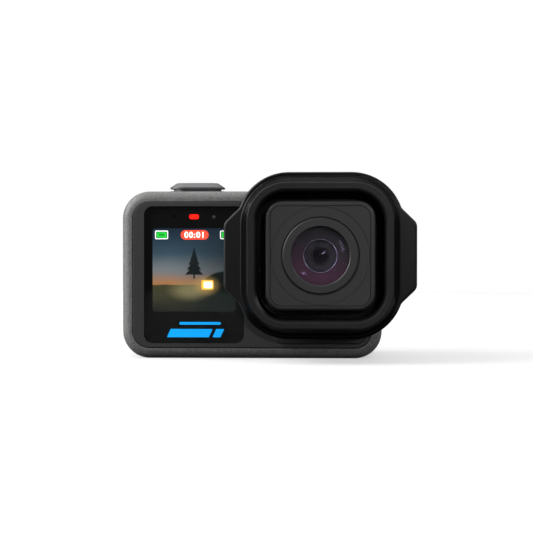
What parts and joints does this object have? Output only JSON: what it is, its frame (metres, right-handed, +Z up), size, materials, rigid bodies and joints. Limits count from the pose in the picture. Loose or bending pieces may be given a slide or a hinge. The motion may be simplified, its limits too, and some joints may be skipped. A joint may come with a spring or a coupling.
{
  "type": "action camera",
  "caption": "Small box-shaped action camera with a colour screen on its front, a shutter button on top, folding mount fingers, a side door and a winged wide-angle lens.",
  "frame": {"origin": "mouth of the tripod thread, in the middle of the case's flat underside", "axes": "+Z up, -Y the way the lens looks, +X on the right of someone who faces the lens"},
  "size_m": [0.0809, 0.0457, 0.0508],
  "materials": {
    "case_rubber": "soft-touch grey, fine grain",
    "bezel_plastic": "fine speckled charcoal",
    "hood_plastic": "satin black",
    "inner_plastic": "moulded black",
    "button_plastic": "light grey satin",
    "screen_glass": "polished",
    "lens_glass": "coated, polished",
    "black_print": "black print behind glass",
    "display": "lit panel",
    "light_red": "lit red window",
    "steel": "plain",
    "aluminium": "sheet",
    "black_metal": "black anodised",
    "brass": "turned",
    "gold": "plated",
    "board": "green circuit board",
    "chip": "moulded package",
    "battery_wrap": "grey wrap",
    "seal_rubber": "blue silicone"
  },
  "bodies": {
    "case": {"main_housing": "case_rubber", "front_cover": "bezel_plastic", "front_glass": "screen_glass", "front_mask": "black_print", "front_display": "display", "status_light": "light_red", "microphones": "inner_plastic", "lens_ring": "steel", "ring_screws": "steel", "camera_barrel": "black_metal", "camera_window": "lens_glass", "camera_elements": "lens_glass", "image_sensor": "chip", "sensor_board": "board", "board_connector": "inner_plastic", "main_board": "board", "chips": "chip", "heat_spreader": "aluminium", "rear_glass": "screen_glass", "rear_mask": "black_print", "rear_display": "display", "battery_tray": "inner_plastic", "battery": "battery_wrap", "battery_tab": "seal_rubber", "battery_contacts": "gold", "port_board": "board", "usb_socket": "steel", "card_socket": "steel", "speaker": "inner_plastic", "speaker_mesh": "black_metal", "shutter_collar": "inner_plastic", "shutter_switch": "steel", "mode_switch": "steel", "mount_base": "inner_plastic", "tripod_insert": "brass", "finger_pins": "steel", "door_pin": "steel"},
    "shutter": {"shutter_button": "button_plastic", "shutter_seal": "seal_rubber"},
    "mode": {"mode_button": "button_plastic"},
    "card": {"memory_card": "chip"},
    "door": {"side_door": "case_rubber", "door_liner": "inner_plastic", "door_seal": "seal_rubber"},
    "latch": {"door_latch": "bezel_plastic"},
    "left_finger": {"finger_left": "black_metal"},
    "right_finger": {"finger_right": "black_metal"},
    "wide_lens": {"mod_base": "black_metal", "mod_hood": "hood_plastic", "mod_pads": "hood_plastic", "mod_block": "hood_plastic", "mod_plate": "hood_plastic", "mod_lens_ring": "black_metal", "mod_dome": "lens_glass", "mod_baffle": "black_metal", "mod_barrel": "black_metal", "mod_elements": "lens_glass", "mod_screws": "steel"}
  },
  "joints": [
    {"name": "shutter_press", "type": "slide", "parent": "case", "child": "shutter", "axis": [0, 0, -1], "range_m": [0, 0.0006], "stiffness_N_per_m": 3000, "springref_m": -0.0003},
    {"name": "mode_press", "type": "slide", "parent": "case", "child": "mode", "axis": [-1, 0, 0], "range_m": [0, 0.0005], "stiffness_N_per_m": 3000, "springref_m": -0.0003},
    {"name": "card_push", "type": "slide", "parent": "case", "child": "card", "axis": [1, 0, 0], "range_m": [0, 0.0008], "stiffness_N_per_m": 1000, "springref_m": -0.0003},
    {"name": "door_swing", "type": "hinge", "parent": "case", "child": "door", "pos_m": [-0.03485, 0.0003, 0.0402], "axis": [0, 1, 0], "range_deg": [0, 110]},
    {"name": "latch_slide", "type": "slide", "parent": "door", "child": "latch", "axis": [0, 0, -1], "range_m": [0, 0.0007], "stiffness_N_per_m": 1500, "springref_m": -0.0003},
    {"name": "finger_left_fold", "type": "hinge", "parent": "case", "child": "left_finger", "pos_m": [-0.00305, 0, 0.0017], "axis": [0, -1, 0], "range_deg": [0, 90]},
    {"name": "finger_right_fold", "type": "hinge", "parent": "case", "child": "right_finger", "pos_m": [0.00305, 0, 0.0017], "axis": [0, 1, 0], "range_deg": [0, 90]},
    {"name": "lens_twist", "type": "hinge", "parent": "case", "child": "wide_lens", "pos_m": [0.0188, -0.0151, 0.0285], "axis": [0, -1, 0], "range_deg": [0, 90]}
  ]
}
